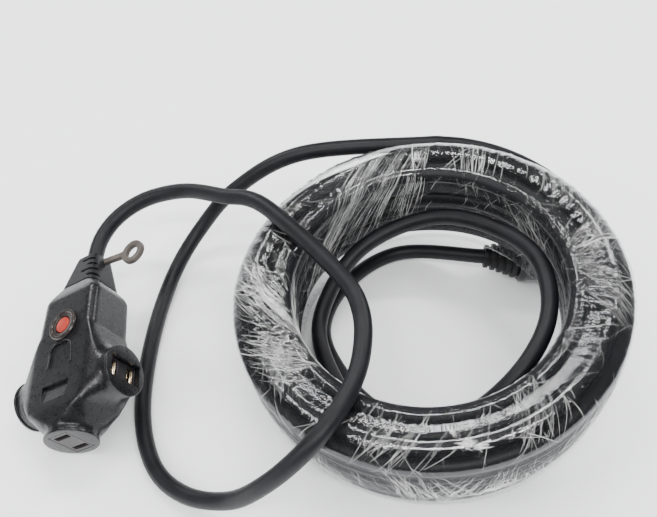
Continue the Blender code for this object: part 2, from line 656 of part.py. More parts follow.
# ---------------------------------------------------------------- plug
def make_plug():
    """Round moulded plug lying on its side. Its own +X runs from the cord to the blades."""
    relief = bmesh.new()
    steps = 5
    profile = [(CORD_DIAMETER / 2 + GAP, 0.0)]
    for number in range(steps):
        radius = (7.4 + 1.2 * number) * MM
        start = PLUG_RELIEF * number / steps
        profile.append((radius, start))
        profile.append((radius, start + 2.6 * MM))
        profile.append((radius - 1.0 * MM, start + 2.6 * MM))
        profile.append((radius - 1.0 * MM, PLUG_RELIEF * (number + 1) / steps))
    profile[-1] = (profile[-1][0], PLUG_RELIEF - GAP)
    profile.append((CORD_DIAMETER / 2 + GAP, PLUG_RELIEF - GAP))
    add_turned(relief, (0, 0, 0), (1, 0, 0), profile, 16)
    finish("plug_strain_relief", relief, MATERIALS["jacket"], PLUG)
    stub = bmesh.new()
    add_cylinder(stub, (MM, 0, 0), (1, 0, 0), CORD_DIAMETER / 2, PLUG_RELIEF + 6 * MM, 16)
    finish("plug_cord_end", stub, MATERIALS["cord"], PLUG, smooth=30)
    front = PLUG_RELIEF + PLUG_BODY
    body = bmesh.new()
    add_turned(body, (0, 0, 0), (1, 0, 0), [
        (CORD_DIAMETER / 2 + GAP, PLUG_RELIEF), (PLUG_RADIUS - 1.0 * MM, PLUG_RELIEF),
        (PLUG_RADIUS, PLUG_RELIEF + 1.0 * MM), (PLUG_RADIUS, PLUG_RELIEF + 4.0 * MM),
        (PLUG_RADIUS - 1.6 * MM, PLUG_RELIEF + 6.0 * MM), (PLUG_RADIUS - 1.6 * MM, front - 7.0 * MM),
        (PLUG_RADIUS, front - 5.0 * MM), (PLUG_RADIUS, front - 1.0 * MM), (PLUG_RADIUS - 1.0 * MM, front),
        (10.0 * MM, front), (10.0 * MM, front - 12.0 * MM), (CORD_DIAMETER / 2 + GAP, front - 12.0 * MM),
    ], 24)
    finish("plug_body", body, MATERIALS["jacket"], PLUG, smooth=30)
    holder = bmesh.new()
    add_cylinder(holder, (front - 11.6 * MM, 0, 0), (1, 0, 0), 9.7 * MM, 11.6 * MM, 24)
    made = finish("blade_holder", holder, MATERIALS["insert"], PLUG, smooth=30)
    slits = bmesh.new()
    for side in (-1, 1):
        middle = side * SLOT_PITCH / 2
        add_box(
            slits,
            (front - 20 * MM, -BLADE_WIDE / 2 - GAP, middle - BLADE_THICK / 2 - GAP),
            (front + 5 * MM, BLADE_WIDE / 2 + GAP, middle + BLADE_THICK / 2 + GAP),
        )
    boolean(made, finish("blade_slits", slits, MATERIALS["insert"], PLUG), "DIFFERENCE")
    for label, side in (("live", 1), ("neutral", -1)):
        middle = side * SLOT_PITCH / 2
        blade = bmesh.new()
        add_hull(blade, [
            (x, y, middle + z)
            for x, half_y, half_z in (
                (front - 11.0 * MM, BLADE_WIDE / 2, BLADE_THICK / 2),
                (front + BLADE_LONG - 1.6 * MM, BLADE_WIDE / 2, BLADE_THICK / 2),
                (front + BLADE_LONG, BLADE_WIDE / 2 - 1.2 * MM, BLADE_THICK / 2 - 0.4 * MM),
            )
            for y in (-half_y, half_y) for z in (-half_z, half_z)
        ])
        made = finish(f"{label}_blade", blade, MATERIALS["plated"], PLUG)
        hole = bmesh.new()
        add_cylinder(hole, (front + BLADE_LONG - 5.0 * MM, 0, middle - 5 * MM), (0, 0, 1), 1.6 * MM, 10 * MM, 12)
        boolean(made, finish(f"{label}_blade_hole", hole, MATERIALS["plated"], PLUG), "DIFFERENCE")


# ---------------------------------------------------------------- build
clear_scene()
MATERIALS = {
    "jacket": make_material("jacket_pvc", (0.035, 0.036, 0.040), 0.42),
    "plate": make_material("plate_plastic", (0.075, 0.070, 0.070), 0.45),
    "insert": make_material("insert_plastic", (0.030, 0.028, 0.032), 0.5),
    "cord": make_material("cord_jacket", (0.030, 0.031, 0.036), 0.5),
    "eyelet": make_material("eyelet_pvc", (0.16, 0.135, 0.115), 0.5),
    "bezel": make_material("bezel_plastic", (0.045, 0.038, 0.034), 0.3),
    "button": make_material("button_red", (0.55, 0.035, 0.02), 0.35),
    "brass": make_material("contact_brass", (0.72, 0.55, 0.34), 0.28, 1.0),
    "plated": make_material("blade_plating", (0.70, 0.70, 0.68), 0.25, 1.0),
    "steel": make_material("plain_steel", (0.50, 0.50, 0.50), 0.35, 1.0),
    "live_core": make_material("core_black", (0.03, 0.03, 0.03), 0.5),
    "neutral_core": make_material("core_white", (0.75, 0.75, 0.72), 0.5),
    "wrap": make_material("wrap_film", (0.80, 0.81, 0.82), 0.15),
}
HEAD = make_frame("head_frame", HEAD_PLACE, HEAD_TURN)
COIL = make_frame("coil_frame", COIL_CENTRE, axis_matrix(COIL_AXIS).to_euler())
PLUG = make_frame("plug_frame", PLUG_PLACE, (0, 0, PLUG_TURN))

make_shells()
make_screws()
for direction, reach in (("left", ARM_REACH), ("right", ARM_REACH), ("lower", LOWER_REACH)):
    face_frame = outlet_frame(f"{direction}_face_frame", direction, reach)
    if direction != "right":
        make_cover_plate(direction, face_frame)
    make_carrier(direction, face_frame)
    make_clips(direction, face_frame)
make_bus_bars()
make_breaker()
make_cord_end()
make_boot()
make_eyelet()
make_coil()
make_plug()
make_lead("tap_lead", TAP_LEAD, MATERIALS["cord"])
make_lead("plug_lead", PLUG_LEAD, MATERIALS["cord"])
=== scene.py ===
import math
import random

import bmesh
import bpy
from mathutils import Euler, Matrix, Vector, noise


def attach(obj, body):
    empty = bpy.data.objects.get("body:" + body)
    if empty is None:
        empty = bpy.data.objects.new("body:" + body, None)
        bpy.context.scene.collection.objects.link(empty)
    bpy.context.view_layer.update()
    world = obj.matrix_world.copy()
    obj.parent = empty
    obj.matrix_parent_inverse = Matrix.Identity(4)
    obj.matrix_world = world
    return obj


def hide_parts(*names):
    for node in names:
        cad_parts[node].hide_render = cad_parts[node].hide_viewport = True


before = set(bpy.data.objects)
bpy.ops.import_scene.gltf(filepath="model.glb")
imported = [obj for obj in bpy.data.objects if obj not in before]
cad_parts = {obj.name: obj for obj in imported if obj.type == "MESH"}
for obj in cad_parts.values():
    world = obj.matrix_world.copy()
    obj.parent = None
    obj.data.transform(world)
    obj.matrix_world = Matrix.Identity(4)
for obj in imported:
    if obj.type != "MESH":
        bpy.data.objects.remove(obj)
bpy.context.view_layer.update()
mm = 0.001
print("frame loaded")


def addObject(name, data):
    thing = bpy.data.objects.new(name, data)
    bpy.context.scene.collection.objects.link(thing)
    return thing


# ---- camera, first, because the cords are judged from it
camera = {
    "place": (0.1316, -0.2524, 0.3838),
    "pitch": 38.86,          # degrees up from straight down
    "lens": 42.287,
    "shift": (0.0096, 0.0642),
}
cameraData = bpy.data.cameras.new("camera")
cameraData.lens = camera["lens"]
cameraData.shift_x, cameraData.shift_y = camera["shift"]
cameraData.clip_start = 0.01
cameraObject = addObject("camera", cameraData)
cameraObject.location = camera["place"]
cameraObject.rotation_euler = (math.radians(camera["pitch"]), 0, 0)
bpy.context.scene.camera = cameraObject

# where the head, the coil and the plug lie; the same places as the CAD's frames
headFrame = Matrix.Translation(Vector((0.0, -28.27, 29.35)) * mm) @ Euler(
    [math.radians(turn) for turn in (4.3, -30.8, 1.7)]).to_matrix().to_4x4()
coil = {
    "place": Vector((194.4, 15.1, 16.5)) * mm,
    "axis": Vector((-0.1363, -0.0831, 0.9872)),
    "inner": 72.4 * mm,
    "outer": 105.1 * mm,
    "height": 61.2 * mm,
}
coilUp = coil["axis"].normalized()
coilEast = (Vector((1, 0, 0)) - coilUp.x * coilUp).normalized()
coilNorth = coilUp.cross(coilEast)
plugFrame = Matrix.Translation(Vector((235.6, 81.6, 14.9)) * mm) @ Euler(
    (0, 0, math.radians(-5.7))).to_matrix().to_4x4()


def onCoil(radius, degrees, height):
    angle = math.radians(degrees)
    return (coil["place"] + coilUp * height
            + radius * (math.cos(angle) * coilEast + math.sin(angle) * coilNorth))


def coilTerms(point):
    offset = point - coil["place"]
    east, north = offset.dot(coilEast), offset.dot(coilNorth)
    return math.hypot(east, north), math.degrees(math.atan2(north, east)), offset.dot(coilUp)


# ---- small helpers
def deselectAll():
    for item in bpy.context.selected_objects:
        item.select_set(False)


def makeActive(piece):
    deselectAll()
    piece.select_set(True)
    bpy.context.view_layer.objects.active = piece


def applyModifier(piece, kind, **settings):
    makeActive(piece)
    modifier = piece.modifiers.new(kind.lower(), kind)
    for name, value in settings.items():
        setattr(modifier, name, value)
    bpy.ops.object.modifier_apply(modifier=modifier.name)


def bakePlace(piece, place):
    # moves the mesh, not the object, so that the object stays at the origin
    piece.data.transform(place)
    piece.matrix_world = Matrix.Identity(4)
    piece.data.update()


def smoothEdges(piece, degrees):
    makeActive(piece)
    bpy.ops.object.shade_smooth_by_angle(angle=math.radians(degrees))


def breakEdges(piece, width, segments, limit, smooth):
    # bevels every edge sharper than the limit, then shades smooth; width in millimetres
    applyModifier(piece, "BEVEL", width=width * mm, segments=segments, angle_limit=math.radians(limit))
    smoothEdges(piece, smooth)


def dress(piece, material, body="cord_set"):
    piece.data.materials.clear()
    piece.data.materials.append(material)
    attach(piece, body)


def meshPiece(name, verts, faces):
    mesh = bpy.data.meshes.new(name)
    mesh.from_pydata([tuple(vert) for vert in verts], [], faces)
    mesh.validate()
    return addObject(name, mesh)


def copyNode(node, name):
    # a CAD node's mesh is loose triangles, so the copy's doubles are merged first
    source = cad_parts[node]
    piece = addObject(name, source.data.copy())
    makeActive(piece)
    bpy.ops.object.mode_set(mode="EDIT")
    bpy.ops.mesh.select_all(action="SELECT")
    bpy.ops.mesh.remove_doubles(threshold=0.000002)
    bpy.ops.mesh.dissolve_limited(angle_limit=math.radians(0.5))
    bpy.ops.mesh.normals_make_consistent(inside=False)
    bpy.ops.object.mode_set(mode="OBJECT")
    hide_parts(node)
    return piece


def roundLine(name, points, radius, resolution):
    # a curve with a round section and closed ends
    curve = bpy.data.curves.new(name, "CURVE")
    curve.dimensions = "3D"
    curve.bevel_depth = radius
    curve.bevel_resolution = resolution
    curve.use_fill_caps = True
    spline = curve.splines.new("POLY")
    spline.points.add(len(points) - 1)
    for point, place in zip(spline.points, points):
        point.co = (*place, 1)
    return addObject(name, curve)


def mouldSoft(piece, voxel, rounds, keep):
    # turns sharp CAD corners into moulded ones
    applyModifier(piece, "REMESH", mode="VOXEL", voxel_size=voxel)
    applyModifier(piece, "SMOOTH", factor=0.5, iterations=rounds)
    applyModifier(piece, "DECIMATE", ratio=keep)
    smoothEdges(piece, 60)


# ---- shader helpers
def newMaterial(name, colour, roughness, metallic=0.0):
    material = bpy.data.materials.new(name)
    material.use_nodes = True
    shader = material.node_tree.nodes["Principled BSDF"]
    shader.inputs["Base Color"].default_value = (*colour, 1)
    shader.inputs["Roughness"].default_value = roughness
    shader.inputs["Metallic"].default_value = metallic
    return material, material.node_tree, shader


def addNode(tree, kind, *feeds, **values):
    # feeds go into the first sockets in turn, the rest by name; another node's output is linked
    node = tree.nodes.new(kind)
    named = []
    for name, value in values.items():
        if hasattr(node, name):
            setattr(node, name, value)
        else:
            named.append((node.inputs[name.replace("_", " ")], value))
    for socket, value in list(zip(node.inputs, feeds)) + named:
        feed(tree, socket, value)
    return node


def feed(tree, socket, value):
    if isinstance(value, bpy.types.NodeSocket):
        tree.links.new(value, socket)
    elif value is not None:
        socket.default_value = value


def feedShader(tree, shader, **values):
    for name, value in values.items():
        feed(tree, shader.inputs[name.replace("_", " ")], value)


def grainGroup():
    # moulded grain on object coordinates: a mask for colour and a height for gloss and bump
    group = bpy.data.node_groups.new("mouldedGrain", "ShaderNodeTree")
    for name, usual in (("Fine Scale", 1400.0), ("Mottle Scale", 60.0)):
        socket = group.interface.new_socket(name=name, in_out="INPUT", socket_type="NodeSocketFloat")
        socket.default_value = usual
    for name in ("Mottle", "Height"):
        group.interface.new_socket(name=name, in_out="OUTPUT", socket_type="NodeSocketFloat")
    scales = group.nodes.new("NodeGroupInput").outputs
    place = group.nodes.new("ShaderNodeTexCoord").outputs["Object"]
    fine = addNode(group, "ShaderNodeTexNoise", place, Scale=scales["Fine Scale"], Detail=3.0,
                   Roughness=0.6).outputs["Fac"]
    mottle = addNode(group, "ShaderNodeTexNoise", place, Scale=scales["Mottle Scale"], Detail=5.0,
                     Roughness=0.62).outputs["Fac"]
    height = addNode(group, "ShaderNodeMath", mottle, 0.35, fine, operation="MULTIPLY_ADD")
    addNode(group, "NodeGroupOutput", mottle, height.outputs["Value"])
    return group


mouldedGrain = grainGroup()


def remap(tree, value, low, high, outLow, outHigh):
    return addNode(tree, "ShaderNodeMapRange", value, low, high, outLow, outHigh).outputs["Result"]


def reckon(tree, operation, *feeds, clamp=False):
    return addNode(tree, "ShaderNodeMath", *feeds, operation=operation, use_clamp=clamp).outputs["Value"]


def blendColours(tree, mask, dark, light):
    node = addNode(tree, "ShaderNodeMix", data_type="RGBA")
    for socket, value in ((0, mask), (6, (*dark, 1)), (7, (*light, 1))):
        feed(tree, node.inputs[socket], value)
    return node.outputs[2]


def moulded(name, look):
    # grained moulding: colour drifts between two tones, gloss is patchy, the surface is finely pitted
    material, tree, shader = newMaterial(name, look["dark"], look["rough"][0], look.get("metal", 0.0))
    grain = addNode(tree, "ShaderNodeGroup", node_tree=mouldedGrain)
    feed(tree, grain.inputs["Fine Scale"], look["fine"])
    feed(tree, grain.inputs["Mottle Scale"], look["mottle"])
    tone = remap(tree, grain.outputs["Mottle"], 0.35, 0.65, 0, 1)
    height = grain.outputs["Height"]
    bump = addNode(tree, "ShaderNodeBump", Strength=look["bump"], Distance=look["depth"], Height=height)
    feedShader(tree, shader, Base_Color=blendColours(tree, tone, look["dark"], look["light"]),
               Roughness=remap(tree, height, 0.4, 0.95, *look["rough"]), Normal=bump.outputs["Normal"],
               Specular_IOR_Level=look.get("specular", 0.5))
    return material


# two tones, gloss from smooth to rough, grain and mottle scales, bump and its depth, metal, specular
finishColumns = ("dark", "light", "rough", "fine", "mottle", "bump", "depth", "metal", "specular")
finishes = {
    "jacketPvc": ((0.0032, 0.0032, 0.0040), (0.0068, 0.0068, 0.0082), (0.20, 0.46),
                  900.0, 230.0, 0.4, 0.00022),
    "bootPvc": ((0.0036, 0.0036, 0.0044), (0.0075, 0.0075, 0.0090), (0.42, 0.62),
                1100.0, 160.0, 0.4, 0.0003, 0.0, 0.35),
    "cordPvc": ((0.0042, 0.0044, 0.0058), (0.0075, 0.0078, 0.0100), (0.40, 0.56),
                1100.0, 60.0, 0.3, 0.0003, 0.0, 0.32),
    "platePlastic": ((0.022, 0.019, 0.020), (0.042, 0.037, 0.038), (0.36, 0.55),
                     1300.0, 110.0, 0.3, 0.0002),
    "insertPlastic": ((0.006, 0.005, 0.006), (0.014, 0.012, 0.014), (0.3, 0.5),
                      1300.0, 120.0, 0.2, 0.0002),
    "eyeletPvc": ((0.045, 0.036, 0.031), (0.085, 0.070, 0.060), (0.45, 0.62),
                  1400.0, 160.0, 0.4, 0.0003),
    "bezelPlastic": ((0.012, 0.009, 0.008), (0.028, 0.022, 0.019), (0.22, 0.36),
                     1200.0, 180.0, 0.15, 0.0001),
    "buttonRed": ((0.22, 0.012, 0.006), (0.34, 0.026, 0.012), (0.30, 0.45),
                  1200.0, 260.0, 0.12, 0.0001),
    "contactBrass": ((0.50, 0.36, 0.20), (0.80, 0.68, 0.50), (0.16, 0.32),
                     900.0, 220.0, 0.15, 0.0001, 1.0),
    "bladePlating": ((0.55, 0.55, 0.54), (0.75, 0.75, 0.73), (0.14, 0.3),
                     900.0, 150.0, 0.1, 0.0001, 1.0),
    "screwSteel": ((0.30, 0.30, 0.30), (0.52, 0.52, 0.52), (0.25, 0.45),
                   1200.0, 300.0, 0.1, 0.0001, 1.0),
    "coreBlack": ((0.012, 0.012, 0.012), (0.03, 0.03, 0.03), (0.4, 0.5),
                  1200.0, 200.0, 0.1, 0.0001),
    "coreWhite": ((0.6, 0.6, 0.57), (0.75, 0.75, 0.72), (0.4, 0.5),
                  1200.0, 200.0, 0.1, 0.0001),
}
materials = {name: moulded(name, dict(zip(finishColumns, look))) for name, look in finishes.items()}
print("materials made")

# ---- the cord: one run from the head, through the coil, to the plug
cordRun = {
    "diameter": 9.5 * mm,
    "step": 5.0 * mm,        # between the points of the finished route
    "rows": 6,
    "leftOut": (3, 5),       # column and row of the one place that stays empty
    "columnRadii": (100.1 * mm, 92.6 * mm, 85.0 * mm, 77.4 * mm),
    "rowPitch": 9.35 * mm,
    "bottom": 5.0 * mm,
    "crossAt": 122.0,        # degrees round the coil where each turn steps over to the next
    "crossSpan": 80.0,
    "turnStep": 3.2,         # degrees between the route's points in the coil
    "wander": 0.55 * mm,     # how far a turn strays from its place
    "joinIn": 60.0,          # degrees over which the free ends run into the winding and out of it
    "joinOut": 75.0,
    "undercut": 6.5 * mm,    # how far the lowest turns draw in, and up to what share of the height
    "undercutReach": 0.55,
}
# route points of the two free ends, in millimetres
headEnd = [
    (-6.0, 59.1, 35.1), (-4.6, 74.2, 37.4), (2.4, 87.6, 41.2), (14.6, 96.4, 46.2),
    (30.4, 99.0, 52.2), (50.6, 94.6, 59.8), (73.4, 80.8, 68.4), (98.0, 65.2, 76.2),
    (138.8, 14.8, 77.8), (151.0, -11.0, 77.2), (150.2, -39.8, 74.8), (140.4, -64.6, 72.4),
    (124.2, -83.4, 65.0), (105.0, -90.6, 44.6), (84.6, -88.2, 20.4), (59.4, -78.8, 7.6),
    (40.6, -60.6, 4.95), (30.0, -26.0, 4.95), (29.0, 24.0, 5.1), (36.0, 70.5, 8.0),
    (52.2, 98.8, 21.8), (77.6, 110.6, 47.6), (120.0, 117.0, 70.4), (196.0, 123.0, 72.6),
]
plugEnd = [
    (234.2, 81.75, 14.8), (183.4, 93.2, 5.6), (148.4, 68.6, 4.95), (132.4, 32.4, 4.95),
    (141.6, -0.4, 5.1), (163.2, -28.8, 7.4), (195.4, -45.8, 19.0), (229.0, -36.6, 51.0),
    (251.2, -1.6, 64.2), (246.0, 42.0, 67.0), (203.4, 75.4, 57.0), (155.0, 67.0, 37.5),
    (130.4, 28.0, 18.2), (138.6, -12.6, 15.0), (157.6, -35.6, 15.6), (183.6, -48.6, 17.8),
]


def turnPlaces():
    # the order in which the turns are wound: two columns up and down, then two side by side downwards
    spacing = cordRun["rowPitch"]
    radii = cordRun["columnRadii"]
    rows = cordRun["rows"]

    def place(column, row):
        lift = 0 if column % 2 == 0 else spacing / 2
        height = cordRun["bottom"] + lift + spacing * (rows - 1 - row)
        drawn = max(0.0, 1 - height / (cordRun["undercutReach"] * coil["height"])) ** 1.5
        return radii[column] - cordRun["undercut"] * drawn * (1 - column / 3), height

    order = [(0, row) for row in range(rows)] + [(1, row) for row in reversed(range(rows))]
    for row in range(rows):
        pair = [(2, row), (3, row)] if row % 2 == 0 else [(3, row), (2, row)]
        order += [spot for spot in pair if spot != cordRun["leftOut"]]
    return [place(*spot) for spot in order]


def smoothStep(value):
    value = min(1.0, max(0.0, value))
    return value * value * (3 - 2 * value)


def coilRoute():
    # azimuth falls steadily; at the crossing each turn moves over to its next place
    places = turnPlaces()
    startRadius, startAngle, startHeight = coilTerms(Vector(headEnd[-1]) * mm)
    endRadius, endAngle, endHeight = coilTerms(Vector(plugEnd[-1]) * mm)
    firstCross = startAngle - (cordRun["crossAt"] - 360)
    total = firstCross + 360 * (len(places) - 2)
    total += (cordRun["crossAt"] - endAngle) % 360
    points = []
    stepCount = round(total / cordRun["turnStep"])
    for step in range(1, stepCount):
        turned = total * step / stepCount
        along = (turned - firstCross) / 360 + 1
        whole = math.floor(along + 0.5)
        local = (along - whole) * 360 / cordRun["crossSpan"] + 0.5
        before = places[min(max(whole - 1, 0), len(places) - 1)]
        after = places[min(max(whole, 0), len(places) - 1)]
        share = smoothStep(local)
        radius = before[0] + (after[0] - before[0]) * share
        height = before[1] + (after[1] - before[1]) * share
        wander = Vector((turned / 75, 3.1 * whole, 0.7))
        radius += cordRun["wander"] * noise.noise(wander)
        height += cordRun["wander"] * noise.noise(wander + Vector((9.2, 4.4, 2.0)))
        entering = 1 - smoothStep(turned / cordRun["joinIn"])
        leaving = smoothStep((turned - total + cordRun["joinOut"]) / cordRun["joinOut"])
        radius += (startRadius - radius) * entering + (endRadius - radius) * leaving
        height += (startHeight - height) * entering + (endHeight - height) * leaving
        points.append(onCoil(radius, startAngle - turned, height))
    return points


def evenPoints(points, step=0.0, count=0):
    # the same line with its points evenly far apart, and its length
    lengths = [0.0]
    for first, second in zip(points, points[1:]):
        lengths.append(lengths[-1] + math.dist(first, second))
    count = count or round(lengths[-1] / step)
    even, index = [], 0
    for number in range(count + 1):
        wanted = lengths[-1] * number / count
        while index < len(points) - 2 and lengths[index + 1] < wanted:
            index += 1
        share = (wanted - lengths[index]) / (lengths[index + 1] - lengths[index])
        even.append([a + (b - a) * share for a, b in zip(points[index], points[index + 1])])
    return even, lengths[-1]


def smoothCurve(knots, step):
    # even points along a Catmull-Rom curve through the knots
    knots = [2 * knots[0] - knots[1]] + knots + [2 * knots[-1] - knots[-2]]
    fine = []
    for index in range(1, len(knots) - 2):
        before, start, end, after = knots[index - 1:index + 3]
        for part in range(10):
            t = part / 10
            fine.append(0.5 * (
                2 * start + (end - before) * t
                + (2 * before - 5 * start + 4 * end - after) * t * t
                + (3 * start - before - 3 * end + after) * t * t * t
            ))
    fine.append(knots[-2])
    return evenPoints(fine, step=step)


def makeCord():
    insideBoot = headFrame @ (Vector((0, 83.0, 0)) * mm)
    insidePlug = plugFrame @ (Vector((5.0, 0, 0)) * mm)
    knots = [insideBoot] + [Vector(point) * mm for point in headEnd]
    knots += coilRoute()
    knots += [Vector(point) * mm for point in reversed(plugEnd)] + [insidePlug]
    route, length = smoothCurve(knots, cordRun["step"])
    piece = roundLine("cord", route, cordRun["diameter"] / 2, 4)
    piece.data.splines[0].use_smooth = True
    dress(piece, materials["cordPvc"])
    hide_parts("tap_lead", "cord_coil", "plug_lead")
    return piece, length


cord, cordLength = makeCord()
print("cord laid, metres:", round(cordLength, 3))

# ---- outlet head: one soft form built up from sections, hollowed, then split into its two shells
head = {
    "voxel": 0.62 * mm,
    "rounds": 14,
    "keep": 0.30,
    "faceRadius": 14.2,      # from here down in millimetres, in the head's own axes
    "armReach": 33.5,
    "lowerReach": 31.0,
    "rimThick": 1.7,
    "front": 16.0,
    "buttonAt": 33.0,
    "parting": 0.04,
    # along y: place, half width, low, high, corner
    "trunk": (
        (64.0, 12.6, -11.4, 12.2, 5.0), (57.0, 18.4, -12.8, 14.8, 4.5), (54.0, 19.6, -13.6, 15.6, 4.5),
        (38.0, 20.0, -14.0, 16.0, 4.5), (12.0, 21.0, -14.0, 16.0, 4.5), (-15.0, 21.6, -14.0, 16.0, 5.0),
        (-18.5, 19.2, -14.0, 15.9, 6.0), (-21.0, 17.4, -14.0, 15.4, 8.0),
        (-24.0, 15.6, -13.9, 14.6, 10.0), (-27.0, 13.7, -13.7, 13.7, 13.6),
        (-30.4, 13.7, -13.7, 13.7, 13.6),
    ),
    # along x, outwards: place, nearest y, farthest y, low, high, corner
    "arm": (
        (16.0, -20.0, 36.0, -14.0, 16.0, 4.5), (18.6, -18.8, 32.5, -14.0, 16.0, 4.5),
        (20.4, -17.0, 28.4, -14.0, 15.8, 5.5), (22.2, -15.6, 23.8, -14.0, 15.4, 6.5),
        (24.2, -14.3, 19.6, -13.9, 14.8, 8.5), (26.4, -13.8, 16.2, -13.8, 14.1, 11.0),
        (29.0, -13.7, 13.9, -13.7, 13.7, 13.5), (33.0, -13.7, 13.7, -13.7, 13.7, 13.6),
    ),
    # raised line round the panel: one leg from its foot, the arch's rise, its radius, how deep it sits
    "archLeg": ((8.9, 7.4), (8.5, 11.0), (8.0, 15.0), (7.3, 18.6)),
    "archRise": 4.6,
    "archRadius": 0.55,
    "archSunk": 0.15,
    # hollows, by their end corners: from arm to arm, down to the lower outlet, the breaker's room
    "hollows": (
        ((-40, -6.2, -10.2), (40, 6.2, 10.2)), ((-6.2, -40, -10.2), (6.2, 22, 10.2)),
        ((-10.5, 18, -10.4), (10.5, 53, 13.6)),
    ),
    # round holes, as base, direction, radius, length: for the cord, for the button
    "bores": (((0, 50, 0), (0, 1, 0), 5.05, 20), ((0, 33.0, 8), (0, 0, 1), 7.2, 12)),
    # panel sunk into the front: half its outline as (across, along, how far its wall opens outwards)
    "panel": ((8.1, 7.8, 1), (7.4, 17.5, 1), (4.6, 21.4, 0)),
    "panelSunk": 0.75,
    "panelOpens": 1.4,
    # slanted recess below the panel: half its corners as (across, along, height over the front)
    "recess": ((10.4, -2.6, 3), (9.2, -3.6, -1.5), (8.8, -13.0, 3), (7.6, -12.6, -0.1)),
    "screws": ((15.0, 46.0), (-15.0, 46.0), (13.5, -12.5), (-13.5, -12.5)),
    # a screw's holes, as start, radius, length, corners: for its shank, for its head
    "screwHoles": ((-10.5, 1.8, 19, 24), (-20, 3.3, 9.8, 32)),
}


def roundedLoop(wideLow, wideHigh, low, high, corner):
    # outline of a section with round corners, as (across, height)
    loop = []
    for across, height, start in (
        (wideHigh - corner, high - corner, 0), (wideLow + corner, high - corner, 90),
        (wideLow + corner, low + corner, 180), (wideHigh - corner, low + corner, 270),
    ):
        for step in range(7):
            angle = math.radians(start + 15 * step)
            loop.append((across + corner * math.cos(angle), height + corner * math.sin(angle)))
    return loop


def hullBetween(points):
    # a convex body round the points, in the head's own axes
    piece = meshPiece("section", [Vector(point) * mm for point in points], [])
    makeActive(piece)
    bpy.ops.object.mode_set(mode="EDIT")
    bpy.ops.mesh.select_all(action="SELECT")
    bpy.ops.mesh.convex_hull()
    bpy.ops.object.mode_set(mode="OBJECT")
    return piece


def joinPieces(pieces, name):
    deselectAll()
    for piece in pieces:
        piece.select_set(True)
    bpy.context.view_layer.objects.active = pieces[0]
    bpy.ops.object.join()
    joined = bpy.context.active_object
    joined.name = name
    return joined


def addBlock(low, high):
    deselectAll()
    middle = (Vector(low) + Vector(high)) / 2 * mm
    bpy.ops.mesh.primitive_cube_add(size=1, location=middle)
    piece = bpy.context.active_object
    piece.scale = (Vector(high) - Vector(low)) * mm
    bpy.ops.object.transform_apply(location=True, rotation=True, scale=True)
    return piece


def addDrum(base, direction, radius, length, vertices=64):
    # a cylinder that starts at its base and runs along the direction
    deselectAll()
    direction = Vector(direction)
    bpy.ops.mesh.primitive_cylinder_add(
        vertices=vertices, radius=radius * mm, depth=length * mm,
        location=(Vector(base) + direction * length / 2) * mm,
        rotation=direction.to_track_quat("Z", "Y").to_euler())
    piece = bpy.context.active_object
    bpy.ops.object.transform_apply(location=True, rotation=True, scale=True)
    return piece


def combine(piece, others, operation):
    # one Boolean with all the others; they are removed afterwards
    group = bpy.data.collections.new("cutters")
    bpy.context.scene.collection.children.link(group)
    for other in others:
        group.objects.link(other)
    applyModifier(piece, "BOOLEAN", operation=operation, operand_type="COLLECTION", collection=group,
                  solver="EXACT")
    for other in others:
        bpy.data.objects.remove(other)
    bpy.data.collections.remove(group)


def cutOut(piece, cutter):
    applyModifier(piece, "BOOLEAN", operation="DIFFERENCE", object=cutter, solver="EXACT")
    bpy.data.objects.remove(cutter)


def headForm():
    parts = []
    rings = [[(x, y, z) for x, z in roundedLoop(-wide, wide, low, high, corner)]
             for y, wide, low, high, corner in head["trunk"]]
    parts += [hullBetween(first + second) for first, second in zip(rings, rings[1:])]
    for side in (-1, 1):
        rings = [[(side * x, y, z) for y, z in roundedLoop(near, far, low, high, corner)]
                 for x, near, far, low, high, corner in head["arm"]]
        parts += [hullBetween(first + second) for first, second in zip(rings, rings[1:])]
    form = joinPieces(parts, "headForm")
    mouldSoft(form, head["voxel"], head["rounds"], head["keep"])
    thick = head["rimThick"]
    rims = [addDrum((side * (head["armReach"] - thick), 0, 0), (side, 0, 0), head["faceRadius"], thick)
            for side in (-1, 1)]
    rims.append(addDrum((0, thick - head["lowerReach"], 0), (0, -1, 0), head["faceRadius"], thick))
    for rim in rims:
        applyModifier(rim, "BEVEL", width=0.4 * mm, segments=3, angle_limit=math.radians(40))
    rims.append(archBead())
    combine(form, rims, "UNION")
    return form


def archBead():
    # the raised line that frames the panel below the button
    leg = list(head["archLeg"])
    wide, top = leg[-1]
    path = [(-x, y) for x, y in leg]
    path += [(wide * math.cos(turn), top + head["archRise"] * math.sin(turn))
             for turn in map(math.radians, range(165, 0, -15))]
    path += reversed(leg)
    height = head["front"] - head["archSunk"]
    points = [(x * mm, y * mm, height * mm) for x, y in path]
    makeActive(roundLine("archBead", points, head["archRadius"] * mm, 3))
    bpy.ops.object.convert(target="MESH")
    return bpy.context.active_object


def headCuts():
    front = head["front"]
    cuts = [addBlock(low, high) for low, high in head["hollows"]]
    cuts += [addDrum(*bore) for bore in head["bores"]]
    panel = [(side * (x + opens * grow), y - (opens * grow if number == 0 else 0), z)
             for z, grow in ((front - head["panelSunk"], 0), (front + 3, head["panelOpens"]))
             for number, (x, y, opens) in enumerate(head["panel"]) for side in (-1, 1)]
    recess = [(side * x, y, front + z) for x, y, z in head["recess"] for side in (-1, 1)]
    cuts += [hullBetween(panel), hullBetween(recess)]
    for x, y in head["screws"]:
        cuts += [addDrum((x, y, start), (0, 0, 1), *size) for start, *size in head["screwHoles"]]
    return cuts


